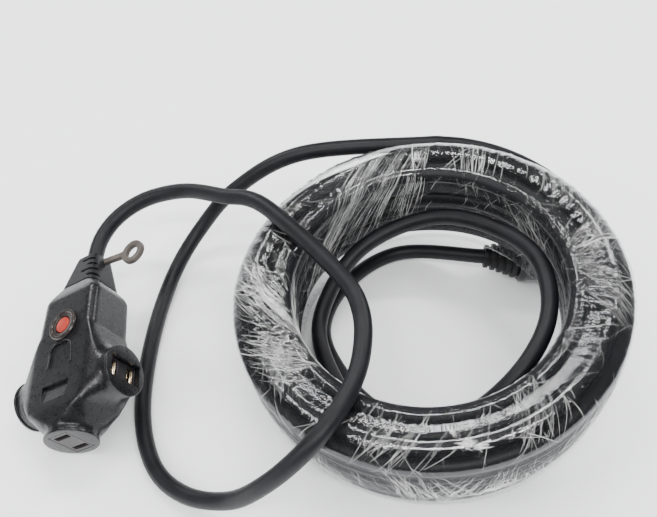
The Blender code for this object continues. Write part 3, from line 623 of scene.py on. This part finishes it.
def makeShells():
    form = headForm()
    combine(form, headCuts(), "DIFFERENCE")
    for name, node, low, high in (
        ("frontShell", "front_shell", head["parting"], 30),
        ("rearShell", "rear_shell", -30, -head["parting"]),
    ):
        piece = addObject(name, form.data.copy())
        combine(piece, [addBlock((-60, -60, low), (60, 120, high))], "INTERSECT")
        smoothEdges(piece, 32)
        bakePlace(piece, headFrame)
        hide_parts(node)
        dress(piece, materials["jacketPvc"])
    bpy.data.objects.remove(form)


def makeBoot():
    piece = copyNode("strain_boot", "strainBoot")
    mouldSoft(piece, 0.4 * mm, 4, 0.4)
    dress(piece, materials["bootPvc"])


def makeEyelet():
    piece = copyNode("hang_eyelet", "hangEyelet")
    mouldSoft(piece, 0.3 * mm, 4, 0.5)
    dress(piece, materials["eyeletPvc"])


def makePlates():
    for node, name in (("left_cover_plate", "leftCoverPlate"), ("lower_cover_plate", "lowerCoverPlate")):
        piece = copyNode(node, name)
        breakEdges(piece, 0.3, 3, 40, 35)
        dress(piece, materials["platePlastic"])


def makeContacts():
    for outlet in ("left", "right", "lower"):
        piece = copyNode(f"{outlet}_contact_carrier", f"{outlet}ContactCarrier")
        breakEdges(piece, 0.25, 2, 40, 35)
        dress(piece, materials["insertPlastic"])
        for pole in ("live", "neutral"):
            clip = copyNode(f"{outlet}_{pole}_clip", f"{outlet}{pole.capitalize()}Clip")
            breakEdges(clip, 0.12, 2, 20, 50)
            dress(clip, materials["contactBrass"])


bezel = {
    "outer": 9.6 * mm,
    "base": 0.5 * mm,
    "rise": 1.5 * mm,
    "narrows": 0.93,         # its top, of its foot's width
    "rim": 1.1 * mm,         # from here inwards: rim, slope down, ledge, dip
    "slope": 0.5 * mm,
    "slopeFall": 0.55 * mm,
    "ledge": 1.2 * mm,
    "dip": 0.3 * mm,
    "hole": 5.3 * mm,
    "edge": 0.28,            # millimetres
    "seat": 16.3,            # millimetres, in the head's own axes
}


def makeBezel():
    base = bezel["base"]
    deselectAll()
    bpy.ops.mesh.primitive_cylinder_add(
        vertices=64, radius=bezel["outer"], depth=base, location=(0, 0, base / 2))
    piece = bpy.context.active_object
    piece.name = "bezelRing"
    bpy.ops.object.transform_apply(location=True, rotation=True, scale=True)
    bpy.ops.object.mode_set(mode="EDIT")
    bpy.ops.mesh.select_mode(type="FACE")
    shape = bmesh.from_edit_mesh(piece.data)
    for face in shape.faces:
        face.select_set(face.normal.z > 0.9)
    bmesh.update_edit_mesh(piece.data)
    bpy.ops.mesh.extrude_region_move(TRANSFORM_OT_translate={"value": (0, 0, bezel["rise"] - base)})
    bpy.ops.transform.resize(value=(bezel["narrows"], bezel["narrows"], 1))
    bpy.ops.mesh.inset(thickness=bezel["rim"])
    bpy.ops.mesh.inset(thickness=bezel["slope"])
    bpy.ops.transform.translate(value=(0, 0, -bezel["slopeFall"]))
    bpy.ops.mesh.inset(thickness=bezel["ledge"])
    bpy.ops.mesh.extrude_region_move(TRANSFORM_OT_translate={"value": (0, 0, -bezel["dip"])})
    bpy.ops.object.mode_set(mode="OBJECT")
    deselectAll()
    bpy.ops.mesh.primitive_cylinder_add(vertices=64, radius=bezel["hole"], depth=8 * mm)
    cutOut(piece, bpy.context.active_object)
    breakEdges(piece, bezel["edge"], 3, 25, 40)
    bakePlace(piece, headFrame @ Matrix.Translation(Vector((0, head["buttonAt"], bezel["seat"])) * mm))
    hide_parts("bezel_ring")
    dress(piece, materials["bezelPlastic"])


def makeButton():
    piece = copyNode("reset_button", "resetButton")
    breakEdges(piece, 0.7, 4, 40, 40)
    dress(piece, materials["buttonRed"], "reset")


screwCross = {
    "long": 3.6 * mm,
    "wide": 0.8 * mm,
    "deep": 2.0 * mm,
    "turned": 20,            # degrees, more from each screw to the next
}


def makeScrews():
    headTurned = headFrame.inverted()
    for number in range(1, 5):
        piece = copyNode(f"shell_screw_{number}", f"shellScrew{number}")
        points = [headTurned @ vert.co for vert in piece.data.vertices]
        low = min(point.z for point in points)
        centre = sum(points, Vector()) / len(points)
        for turn in (0, 90):
            deselectAll()
            bpy.ops.mesh.primitive_cube_add(size=1)
            cutter = bpy.context.active_object
            bakePlace(cutter, headFrame @ Matrix.Translation((centre.x, centre.y, low))
                      @ Matrix.Rotation(math.radians(turn + screwCross["turned"] * number), 4, "Z")
                      @ Matrix.Diagonal((screwCross["long"], screwCross["wide"], screwCross["deep"], 1)))
            cutOut(piece, cutter)
        breakEdges(piece, 0.2, 2, 40, 40)
        dress(piece, materials["screwSteel"])


makeShells()
makeBoot()
makeEyelet()
makePlates()
makeContacts()
makeBezel()
makeButton()
makeScrews()
print("head made")


# ---- plug
plug = {
    # node: name, finish, slot, width of the broken edges in millimetres
    "plug_body": ("plugBody", "jacketPvc", "jacket", 0.8),
    "plug_strain_relief": ("plugStrainRelief", "bootPvc", "jacket", 0.35),
    "blade_holder": ("bladeHolder", "insertPlastic", "insert", 0.3),
    "live_blade": ("liveBlade", "bladePlating", "plated", 0.2),
    "neutral_blade": ("neutralBlade", "bladePlating", "plated", 0.2),
}


def makePlug():
    pieces = []
    for node, (name, finish, slotName, width) in plug.items():
        piece = copyNode(node, name)
        breakEdges(piece, width, 3, 30, 40)
        dress(piece, materials[finish])
        pieces.append(piece)
    return pieces


plugPieces = makePlug()
print("plug made")

# ---- stretch film round the coil
film = {
    "around": 720,           # columns of vertices round the coil
    "across": 72,            # rows of vertices across its section
    "standOff": 0.9 * mm,
    "hug": 0.75,             # how far the film sinks between two turns, of the gap's depth
    "slitInner": 79.0 * mm,  # the film's two edges meet under the coil and leave this band open
    "slitOuter": 96.0 * mm,
    "taper": 3.0 * mm,       # the outer wall leans in by this much at its foot
    "sheenTop": 1.9,         # how strongly it mirrors; less on the walls, as painted shade set by which way the film faces
    "sheenWallShaded": 0.22,
    "bandHeight": 34.0 * mm,  # the milky last laps reach this far up the outer wall
    "bandSoft": 2.5 * mm,
    "bandMilk": (0.04, 0.10),
    "haze": 0.012,           # milkiness everywhere else
    "wallRadius": 95.0 * mm,  # the outer wall lies outside this radius,
    "wallShare": 0.45,       # in this first share of the section
    # radii in millimetres at the section's corners: outer foot, outer top, inner top, inner foot
    "rounding": (7.0, 12.0, 8.0, 5.0),
    # relief: how often round the coil, how often across it, how high in millimetres
    "billows": (3.2, 2.2, 0.35),
    "pulls": (11.0, 1.4, 0.42),
    "wrinkles": (30.0, 3.1, 0.20),
}


def filmSection():
    # outline of the section as (radius, height), from the outer bottom edge over to the inner one
    outline = [(film["slitOuter"], -film["standOff"])]
    middle = (coil["inner"] + coil["outer"]) / 2
    corners = (
        (coil["outer"] - film["taper"], 0.0, -90), (coil["outer"], coil["height"], 0),
        (coil["inner"], coil["height"], 90), (coil["inner"], 0.0, 180),
    )
    for (radius, height, start), size in zip(corners, film["rounding"]):
        size *= mm
        centreRadius = radius - size if radius > middle else radius + size
        centreHeight = height + size if height == 0 else height - size
        for step in range(9):
            angle = math.radians(start + 90 * step / 8)
            reach = size + film["standOff"]
            outline.append((centreRadius + reach * math.cos(angle),
                            centreHeight + reach * math.sin(angle)))
    outline.append((film["slitInner"], -film["standOff"]))
    return evenPoints(outline, count=film["across"])


section, sectionLength = filmSection()
strandPlaces = turnPlaces()


def sectionNormal(index):
    before, after = section[max(index - 1, 0)], section[min(index + 1, film["across"])]
    run = Vector((after[0] - before[0], after[1] - before[1])).normalized()
    return Vector((run.y, -run.x))


def sinkAt(index):
    # how far the film sinks at this row of the section, onto the turns under it
    radius, height = section[index]
    gap = min(math.hypot(radius - r, height - h) for r, h in strandPlaces) - cordRun["diameter"] / 2
    return max(0.0, min(gap - 0.5 * mm, 1.6 * mm)) * film["hug"]


sinks = [sinkAt(index) for index in range(film["across"] + 1)]


def filmPoint(degrees, share, lift=0.0):
    # a point of the film by its place round the coil and its share of the section's length
    place = min(max(share, 0.0), 1.0) * film["across"]
    index = min(int(place), film["across"] - 1)
    part = place - index
    radius = section[index][0] + (section[index + 1][0] - section[index][0]) * part
    height = section[index][1] + (section[index + 1][1] - section[index][1]) * part
    normal = sectionNormal(index).lerp(sectionNormal(index + 1), part)
    sink = sinks[index] + (sinks[index + 1] - sinks[index]) * part
    out = filmRelief(degrees, share) - sink + lift
    return onCoil(radius + normal.x * out, degrees, height + normal.y * out)


def ridge(value, sharpness):
    return (1 - abs(value)) ** sharpness


def filmRelief(degrees, share):
    # pulled folds run across the section and lean a little; long soft billows lie under them
    angle = math.radians(degrees)
    ring = Vector((math.cos(angle), math.sin(angle), 0))
    lean = 0.10 * math.sin(3 * angle + 1.3) * (share - 0.4)
    ringLean = Vector((math.cos(angle + lean), math.sin(angle + lean), 0))
    often, across, billowHeight = film["billows"]
    billow = noise.noise(ring * often + Vector((0, 0, share * across)))
    often, across, pullHeight = film["pulls"]
    pull = ridge(noise.noise(ringLean * often + Vector((5.1, 0, share * across))) * 2.2, 3.0)
    often, across, wrinkleHeight = film["wrinkles"]
    wrinkle = ridge(noise.noise(ringLean * often + Vector((0, 7.7, share * across))) * 2.0, 4.0)
    return mm * (billowHeight * billow + pullHeight * max(pull, 0) + wrinkleHeight * max(wrinkle, 0))


def makeFilm():
    verts, faces = [], []
    for column in range(film["around"]):
        degrees = 360 * column / film["around"]
        for row in range(film["across"] + 1):
            verts.append(filmPoint(degrees, row / film["across"]))
    rows = film["across"] + 1
    for column in range(film["around"]):
        following = (column + 1) % film["around"]
        for row in range(film["across"]):
            faces.append((column * rows + row, following * rows + row,
                          following * rows + row + 1, column * rows + row + 1))
    piece = meshPiece("stretchFilm", verts, faces)
    layout = piece.data.uv_layers.new(name="filmRun")
    middle = (coil["inner"] + coil["outer"]) / 2
    for polygon in piece.data.polygons:
        column = polygon.index // film["across"]
        for corner, loop in zip(((0, 0), (1, 0), (1, 1), (0, 1)), polygon.loop_indices):
            row = polygon.index % film["across"] + corner[1]
            turn = math.tau * (column + corner[0]) / film["around"]
            layout.data[loop].uv = (turn * middle / 0.1, row / film["across"] * sectionLength / 0.1)
    smoothEdges(piece, 180)
    return piece


def filmMaterial():
    # clear film: mirror-like sheen through a transparent mix, milky where it is creased or stands off
    material, tree, shader = newMaterial("stretchFilm", (0.86, 0.88, 0.90), 0.12, 1.0)
    run = addNode(tree, "ShaderNodeUVMap", uv_map="filmRun").outputs["UV"]
    drawn = addNode(tree, "ShaderNodeMapping", run, Scale=(1.0, 0.10, 1.0)).outputs["Vector"]
    streak = addNode(tree, "ShaderNodeTexNoise", drawn, Scale=55.0, Detail=6.0, Roughness=0.65,
                     Distortion=0.6).outputs["Fac"]
    patch = addNode(tree, "ShaderNodeTexNoise", run, Scale=2.2, Detail=3.0).outputs["Fac"]
    crinkle = addNode(tree, "ShaderNodeTexNoise", run, noise_type="RIDGED_MULTIFRACTAL", Scale=9.0,
                      Detail=3.0).outputs["Fac"]
    white = reckon(tree, "MULTIPLY", remap(tree, streak, 0.62, 0.78, 0.0, 1.0),
                   remap(tree, patch, 0.42, 0.66, 0.15, 1.0))
    veil = addNode(tree, "ShaderNodeAttribute", attribute_name="milk").outputs["Fac"]
    milky = reckon(tree, "ADD", white, veil, clamp=True)
    relief = reckon(tree, "MULTIPLY_ADD", crinkle, 0.5, streak)
    normal = addNode(tree, "ShaderNodeBump", Strength=0.35, Distance=0.0008,
                     Height=relief).outputs["Normal"]
    feedShader(tree, shader, Metallic=remap(tree, milky, 0.0, 0.35, 1.0, 0.0),
               Roughness=remap(tree, milky, 0.0, 1.0, 0.05, 0.45), Normal=normal)
    glance = addNode(tree, "ShaderNodeFresnel", IOR=1.5, Normal=normal).outputs["Fac"]
    # the sheen attribute holds painted shade: the walls mirror less than the top
    strength = addNode(tree, "ShaderNodeAttribute", attribute_name="sheen").outputs["Fac"]
    sheen = reckon(tree, "MULTIPLY", glance, strength, clamp=True)
    cover = reckon(tree, "MULTIPLY_ADD", milky, 0.55, sheen, clamp=True)
    clear = addNode(tree, "ShaderNodeBsdfTransparent").outputs["BSDF"]
    mix = addNode(tree, "ShaderNodeMixShader", cover, clear, shader.outputs["BSDF"]).outputs["Shader"]
    feed(tree, tree.nodes["Material Output"].inputs["Surface"], mix)
    return material


def paintFilm(piece):
    # "milk": the last laps hang clear of the turns, low on the outer wall, and look milky there
    # "sheen": strong over the top and the crests, weak on the walls: painted shade, set by which way each
    # row faces
    milk = piece.data.attributes.new("milk", "FLOAT", "POINT")
    sheen = piece.data.attributes.new("sheen", "FLOAT", "POINT")
    rows = film["across"] + 1
    soft = film["bandSoft"]
    least, more = film["bandMilk"]
    milkValues, sheenValues = [], []
    for index in range(len(piece.data.vertices)):
        column, row = divmod(index, rows)
        angle = math.tau * column / film["around"]
        share = row / film["across"]
        radius, height = section[row]
        ring = Vector((math.cos(angle) * 4, math.sin(angle) * 4, share * 3))
        edge = film["bandHeight"] + soft * noise.noise(ring * 0.8)
        onWall = radius > film["wallRadius"] and share < film["wallShare"]
        low = smoothStep((edge - height) / soft) if onWall else 0.0
        milkValues.append(low * (least + more * (0.5 + 0.5 * noise.noise(ring))) + film["haze"])
        # painted shade: the more a row faces sideways, the less it mirrors, so the walls stay dark
        facing = smoothStep((sectionNormal(row).y - 0.05) / 0.5)
        sheenValues.append(film["sheenWallShaded"] + (film["sheenTop"] - film["sheenWallShaded"]) * facing)
    milk.data.foreach_set("value", milkValues)
    sheen.data.foreach_set("value", sheenValues)


stretchFilm = makeFilm()
paintFilm(stretchFilm)
dress(stretchFilm, filmMaterial())
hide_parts("stretch_wrap")
print("film wrapped")

# ---- white strands: the film's pulled edges and creases, as thin flattened threads lying on it
threads = {
    "seed": 11,
    "sides": 4,
    "steps": 10,
    "lift": 0.10 * mm,
    "flat": (1.6, 0.6),      # width and thickness, of the radius
    # fans of strands: start and end as (degrees, share of the section), how far they spread at each end
    # (degrees, share), number, radius in millimetres
    "fans": (
        # back, over the top and down the inner wall
        ((88.0, 0.44), (112.0, 0.84), (5, 0.03), (20, 0.06), 40, 0.085),
        ((92.0, 0.36), (138.0, 0.72), (7, 0.03), (16, 0.05), 34, 0.080),
        ((70.0, 0.34), (62.0, 0.66), (9, 0.03), (8, 0.06), 22, 0.070),
        ((120.0, 0.60), (160.0, 0.88), (14, 0.05), (18, 0.05), 34, 0.085),
        # left, from the outer edge round to the inner wall
        ((164.0, 0.42), (214.0, 0.74), (6, 0.05), (20, 0.07), 46, 0.085),
        ((168.0, 0.58), (222.0, 0.86), (8, 0.05), (14, 0.06), 30, 0.090),
        ((172.0, 0.36), (186.0, 0.54), (10, 0.03), (12, 0.05), 26, 0.070),
        # the crossed patch on the left of the front
        ((198.0, 0.40), (216.0, 0.60), (12, 0.02), (10, 0.03), 34, 0.060),
        ((216.0, 0.42), (198.0, 0.58), (12, 0.03), (12, 0.03), 34, 0.060),
        # front, over the crest
        ((-110.0, 0.36), (-100.0, 0.56), (14, 0.03), (16, 0.04), 20, 0.060),
        ((-66.0, 0.38), (-52.0, 0.60), (12, 0.03), (12, 0.04), 20, 0.060),
        # right, across the top
        ((-18.0, 0.38), (2.0, 0.62), (10, 0.04), (14, 0.05), 26, 0.065),
        ((22.0, 0.36), (4.0, 0.58), (10, 0.03), (10, 0.05), 24, 0.070),
        ((44.0, 0.36), (30.0, 0.52), (10, 0.03), (12, 0.05), 30, 0.065),
        ((46.0, 0.60), (24.0, 0.80), (14, 0.04), (16, 0.06), 22, 0.070),
        # down the outer wall
        ((-100.0, 0.36), (-92.0, 0.06), (10, 0.03), (12, 0.03), 40, 0.095),
        ((-76.0, 0.34), (-84.0, 0.07), (10, 0.04), (12, 0.03), 36, 0.095),
        ((-66.0, 0.30), (-63.0, 0.06), (12, 0.05), (14, 0.03), 34, 0.085),
        ((-40.0, 0.36), (-47.0, 0.08), (10, 0.03), (12, 0.05), 40, 0.090),
        ((-20.0, 0.36), (-26.0, 0.08), (10, 0.03), (10, 0.05), 40, 0.090),
        ((-122.0, 0.28), (-119.0, 0.06), (12, 0.05), (14, 0.03), 38, 0.090),
        ((-146.0, 0.28), (-142.0, 0.07), (14, 0.05), (14, 0.04), 46, 0.090),
        ((-172.0, 0.28), (-168.0, 0.07), (14, 0.05), (14, 0.04), 40, 0.090),
        ((20.0, 0.34), (30.0, 0.08), (24, 0.04), (24, 0.05), 40, 0.080),
        ((80.0, 0.34), (88.0, 0.08), (34, 0.04), (34, 0.05), 44, 0.080),
        ((138.0, 0.34), (146.0, 0.08), (28, 0.04), (28, 0.05), 40, 0.080),
    ),
    # fine loose strands, all over the top
    "loose": {"count": 260, "share": (0.34, 0.80), "lean": (-12, 12), "run": (0.03, 0.13), "size": 0.055},
    # long creases laid one by one: start and end as (degrees, share), radius
    "creases": (
        ((6.0, 0.66), (11.0, 0.30), 0.26), ((6.5, 0.62), (13.0, 0.36), 0.13),
        ((88.0, 0.30), (91.0, 0.62), 0.24), ((62.0, 0.34), (84.0, 0.66), 0.20),
        ((60.0, 0.36), (79.0, 0.60), 0.13), ((197.0, 0.36), (208.0, 0.52), 0.20),
        ((208.0, 0.52), (226.0, 0.64), 0.18), ((166.0, 0.40), (176.0, 0.50), 0.30),
        ((-30.0, 0.58), (-22.0, 0.44), 0.16), ((-36.0, 0.40), (-58.0, 0.10), 0.17),
        ((-33.0, 0.38), (-52.0, 0.09), 0.13), ((-92.0, 0.12), (-72.0, 0.22), 0.20),
        ((-72.0, 0.22), (-70.0, 0.12), 0.16), ((-70.0, 0.12), (-92.0, 0.11), 0.18),
    ),
    # crumpled knots: centre as (degrees, share), reach (degrees, share), number, radius
    "knots": (
        ((-83.0, 0.46), (3.0, 0.020), 46, 0.11), ((-79.5, 0.445), (2.4, 0.014), 30, 0.10),
        ((-86.0, 0.50), (1.4, 0.022), 22, 0.09),
        ((-77.0, 0.17), (8.0, 0.04), 60, 0.11), ((89.0, 0.50), (3.0, 0.05), 26, 0.12),
    ),
}


def addThread(verts, faces, start, end, size, bow):
    # one flattened strand from start to end, thin at both ends
    first = len(verts)
    steps, sides = threads["steps"], threads["sides"]
    wide, thick = threads["flat"]
    path = []
    for step in range(steps + 1):
        t = step / steps
        swell = bow * math.sin(math.pi * t)
        degrees = start[0] + (end[0] - start[0]) * t + swell
        share = start[1] + (end[1] - start[1]) * t
        path.append(filmPoint(degrees, share, threads["lift"]))
    for step, point in enumerate(path):
        ahead = (path[min(step + 1, steps)] - path[max(step - 1, 0)]).normalized()
        out = (point - coil["place"]).normalized()
        side = ahead.cross(out).normalized()
        lift = side.cross(ahead)
        taper = size * mm * (0.25 + 0.75 * math.sin(math.pi * (step + 0.35) / (steps + 0.7)))
        for corner in range(sides):
            angle = math.tau * corner / sides
            verts.append(point + side * taper * wide * math.cos(angle)
                         + lift * taper * thick * math.sin(angle))
    for step in range(steps):
        for corner in range(sides):
            after = (corner + 1) % sides
            a, b = first + step * sides, first + (step + 1) * sides
            faces.append((a + corner, a + after, b + after, b + corner))
    faces.append(tuple(first + corner for corner in reversed(range(sides))))
    faces.append(tuple(first + steps * sides + corner for corner in range(sides)))


def layStrands():
    # every strand as (start, end, radius, bow)
    random.seed(threads["seed"])
    strands = []
    for start, end, spreadStart, spreadEnd, count, size in threads["fans"]:
        for number in range(count):
            across = random.gauss(0, 0.45)
            first = (start[0] + spreadStart[0] * across,
                     start[1] + spreadStart[1] * random.uniform(-1, 1))
            last = (end[0] + spreadEnd[0] * (across + random.gauss(0, 0.25)),
                    end[1] + spreadEnd[1] * random.uniform(-1, 1))
            cut = random.uniform(0.0, 0.45)
            begin = random.uniform(0, cut)
            finish = 1 - (cut - begin)
            run = [tuple(a + (b - a) * part for a, b in zip(first, last)) for part in (begin, finish)]
            strands.append((*run, size * random.uniform(0.5, 1.6), random.uniform(-2.2, 2.2)))
    loose = threads["loose"]
    for number in range(loose["count"]):
        first = (random.uniform(-180, 180), random.uniform(*loose["share"]))
        last = (first[0] + random.uniform(*loose["lean"]), first[1] + random.uniform(*loose["run"]))
        strands.append((first, last, loose["size"] * random.uniform(0.6, 1.5), random.uniform(-1, 1)))
    for start, end, size in threads["creases"]:
        strands.append((start, end, size, 1.2))
    for centre, reach, count, size in threads["knots"]:
        for number in range(count):
            ends = [tuple(middle + far * random.gauss(0, 0.5) for middle, far in zip(centre, reach))
                    for end in range(2)]
            strands.append((*ends, size * random.uniform(0.5, 1.5), random.uniform(-0.8, 0.8)))
    return strands


def makeThreads():
    verts, faces = [], []
    for start, end, size, bow in layStrands():
        addThread(verts, faces, start, end, size, bow)
    piece = meshPiece("filmThreads", verts, faces)
    makeActive(piece)
    bpy.ops.object.mode_set(mode="EDIT")
    bpy.ops.mesh.select_all(action="SELECT")
    bpy.ops.mesh.normals_make_consistent(inside=False)
    bpy.ops.object.mode_set(mode="OBJECT")
    smoothEdges(piece, 180)
    return piece


def threadMaterial():
    material, tree, shader = newMaterial("filmThread", (0.80, 0.80, 0.78), 0.3)
    grain = addNode(tree, "ShaderNodeGroup", node_tree=mouldedGrain)
    feed(tree, grain.inputs["Mottle Scale"], 90.0)
    feedShader(tree, shader, Alpha=remap(tree, grain.outputs["Mottle"], 0.38, 0.62, 0.25, 0.85))
    return material


filmThreads = makeThreads()
dress(filmThreads, threadMaterial())
print("film threads laid")

# ---- inner nodes keep their CAD shape
innerFinish = {
    "insertPlastic": ("breaker_case", "cord_stop", "trip_plunger"),
    "contactBrass": (
        "live_bus_bar", "neutral_bus_bar", "contact_arm", "breaker_line_tab", "breaker_load_tab"),
    "screwSteel": ("reset_spring", "bimetal_strip"),
    "coreBlack": ("live_core", "link_wire"),
    "coreWhite": ("neutral_core",),
    "cordPvc": ("cord_end", "plug_cord_end"),
}
for finish, nodes in innerFinish.items():
    for node in nodes:
        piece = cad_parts[node]
        for materialSlot in piece.material_slots:
            materialSlot.material = materials[finish]

# ---- floor and light
studio = {
    "floorTones": ((0.88, 0.88, 0.88), (0.92, 0.92, 0.92)),
    "worldTone": (0.96, 0.98, 1.0),
    "worldStrength": 2.0,
    "worldGloss": 0.10,      # how strongly the white surroundings show in glossy surfaces
    # name: place, aimed at, size, watts
    "lights": {
        "overhead": ((0.16, 0.30, 1.00), (0.16, 0.02, 0.03), (0.50, 0.09), 4.6),
        "backLeft": ((-0.50, 0.75, 0.75), (0.14, 0.05, 0.05), (0.34, 0.12), 5.0),
        "backRight": ((0.85, 0.65, 0.70), (0.25, 0.05, 0.05), (0.34, 0.12), 4.6),
        "crestStrip": ((0.19, -0.50, 1.00), (0.19, 0.0, 0.05), (0.80, 0.035), 8.0),
        "frontLeft": ((-0.60, -0.35, 0.80), (0.05, 0.0, 0.04), (0.30, 0.14), 3.4),
    },
}
deselectAll()
bpy.ops.mesh.primitive_plane_add(size=8)
floor = bpy.context.active_object
floor.name = "floor"
floorMaterial, floorTree, floorShader = newMaterial("floorPaper", studio["floorTones"][0], 0.9)
floorPlace = floorTree.nodes.new("ShaderNodeTexCoord").outputs["Object"]
floorNoise = addNode(floorTree, "ShaderNodeTexNoise", floorPlace, Scale=240.0, Detail=2.0).outputs["Fac"]
feedShader(floorTree, floorShader, Base_Color=blendColours(floorTree, floorNoise, *studio["floorTones"]))
floor.data.materials.append(floorMaterial)

world = bpy.data.worlds.new("studio")
world.use_nodes = True
background = world.node_tree.nodes["Background"]
rays = world.node_tree.nodes.new("ShaderNodeLightPath")
strength = remap(world.node_tree, rays.outputs["Is Glossy Ray"], 0.0, 1.0,
                 studio["worldStrength"], studio["worldGloss"])
feedShader(world.node_tree, background, Color=(*studio["worldTone"], 1), Strength=strength)
bpy.context.scene.world = world
for name, (place, aim, size, watts) in studio["lights"].items():
    light = bpy.data.lights.new(name, "AREA")
    light.shape = "RECTANGLE"
    light.size, light.size_y = size
    light.energy = watts
    lamp = addObject(name, light)
    lamp.location = place
    lamp.rotation_euler = (Vector(aim) - Vector(place)).to_track_quat("-Z", "Y").to_euler()
print("studio lit")
